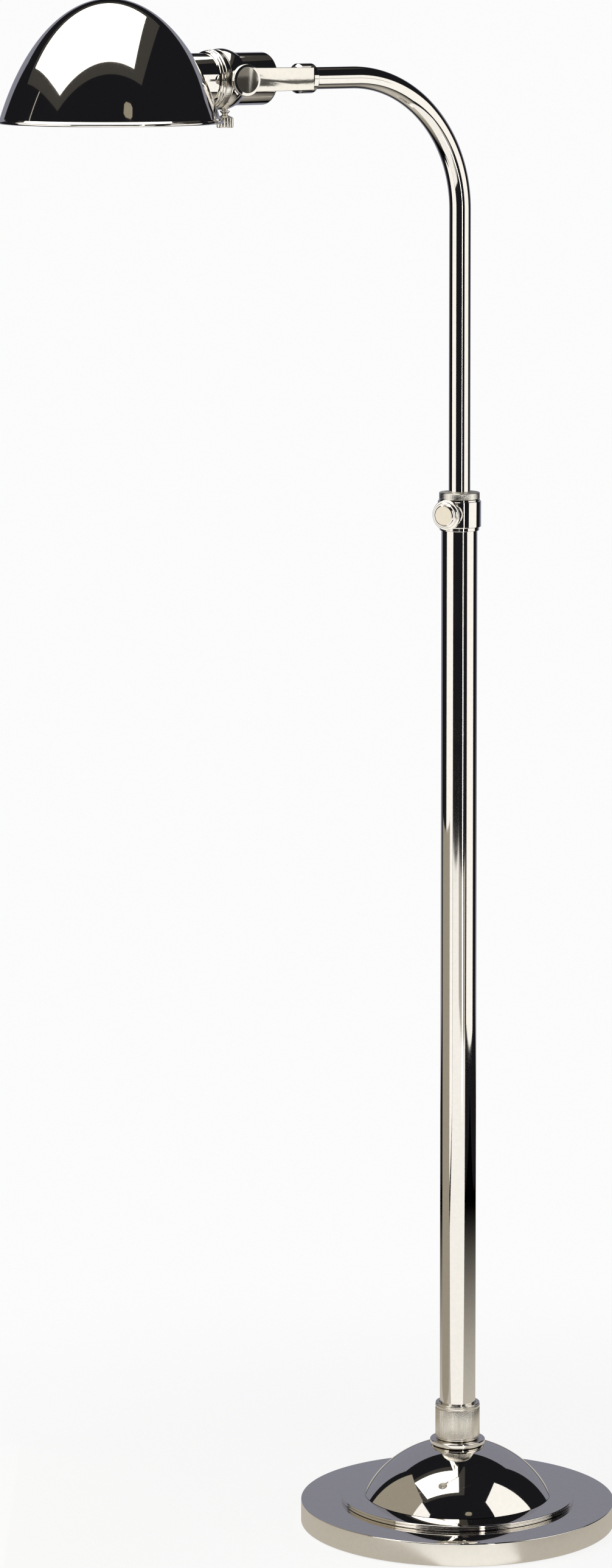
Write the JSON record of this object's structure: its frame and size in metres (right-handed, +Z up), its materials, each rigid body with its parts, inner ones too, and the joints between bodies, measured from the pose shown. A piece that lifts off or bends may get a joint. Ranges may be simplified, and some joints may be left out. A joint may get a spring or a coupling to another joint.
{
  "type": "pharmacy floor lamp",
  "caption": "Pharmacy floor lamp: weighted round base, telescopic post with a clamp knob, bent arm, and a domed metal shade on a tilting and rolling head.",
  "frame": {"origin": "centre of the base pad's underside, on the post axis, at floor level", "axes": "+Z up along the post; the arm reaches along -X; the head hangs beside the arm on its +Y side and the pivot knob faces -Y"},
  "size_m": [0.591, 0.2794, 1.3612],
  "materials": {
    "polished_nickel": "polished",
    "satin_nickel": "satin",
    "brushed_nickel": "satin",
    "knurled_nickel": "satin",
    "zinc_steel": "satin",
    "brass": "satin",
    "cast_iron": "matte",
    "felt": "matte",
    "black_plastic": "satin",
    "nylon": "satin",
    "porcelain": "gloss",
    "frosted_glass": "satin"
  },
  "bodies": {
    "stand": {"base_pad": "felt", "base_weight": "cast_iron", "base_cover": "satin_nickel", "cord_grommet": "black_plastic", "base_step": "polished_nickel", "base_dome": "polished_nickel", "check_ring": "polished_nickel", "post_ferrule": "knurled_nickel", "post_tube": "polished_nickel", "post_plug": "brass", "centre_rod": "zinc_steel", "lock_washer": "zinc_steel", "rod_nut": "zinc_steel", "collar_body": "polished_nickel", "collar_bush": "nylon", "collar_cap": "brushed_nickel", "clamp_boss": "polished_nickel"},
    "clamp_knob": {"clamp_screw": "zinc_steel", "clamp_knob": "brushed_nickel"},
    "slider": {"guide_bush": "nylon"},
    "arm": {"stop_ring": "brass", "retaining_ring": "brass", "upper_tube": "polished_nickel", "arm_coupler": "polished_nickel", "flat_bar": "brushed_nickel"},
    "head_yoke": {"pivot_stud": "zinc_steel", "friction_washer": "black_plastic", "wave_washer": "zinc_steel", "clamp_ring": "polished_nickel"},
    "pivot_knob": {"pivot_knob": "brushed_nickel"},
    "ring_nut": {"ring_nut": "knurled_nickel"},
    "thumbscrew": {"thumbscrew": "knurled_nickel"},
    "lamp_head": {"socket_cup": "polished_nickel", "socket_nipple": "zinc_steel", "nipple_nut": "polished_nickel", "wire_bushing": "black_plastic", "lampholder_body": "porcelain", "centre_contact": "brass", "screw_shell": "brass", "bulb_cap": "brass", "bulb_glass": "frosted_glass", "shade": "polished_nickel", "shade_nut": "polished_nickel"}
  },
  "joints": [
    {"name": "height_slide", "type": "slide", "parent": "stand", "child": "slider", "axis": [0, 0, 1], "range_m": [-0.235, 0.15]},
    {"name": "arm_swivel", "type": "hinge", "parent": "slider", "child": "arm", "pos_m": [0, 0, 0.906], "axis": [0, 0, 1], "range_deg": [-175, 175]},
    {"name": "head_tilt", "type": "hinge", "parent": "arm", "child": "head_yoke", "pos_m": [-0.24, 0, 1.2913], "axis": [0, 1, 0], "range_deg": [-80, 90]},
    {"name": "shade_roll", "type": "hinge", "parent": "head_yoke", "child": "lamp_head", "pos_m": [-0.24, 0.0205, 1.2913], "axis": [1, 0, 0], "range_deg": [-90, 90]},
    {"name": "clamp_knob_turn", "type": "hinge", "parent": "stand", "child": "clamp_knob", "pos_m": [0, 0, 0.906], "axis": [-0.9063, -0.4226, 0], "range_deg": [0, 360]},
    {"name": "pivot_knob_turn", "type": "hinge", "parent": "head_yoke", "child": "pivot_knob", "pos_m": [-0.24, 0, 1.2913], "axis": [0, -1, 0], "range_deg": [0, 360]},
    {"name": "ring_nut_turn", "type": "hinge", "parent": "head_yoke", "child": "ring_nut", "pos_m": [-0.24, 0.0205, 1.2913], "axis": [-1, 0, 0], "range_deg": [0, 270]},
    {"name": "thumbscrew_turn", "type": "hinge", "parent": "head_yoke", "child": "thumbscrew", "pos_m": [-0.2375, 0.0205, 1.2913], "axis": [0, 0, -1], "range_deg": [0, 360]}
  ]
}
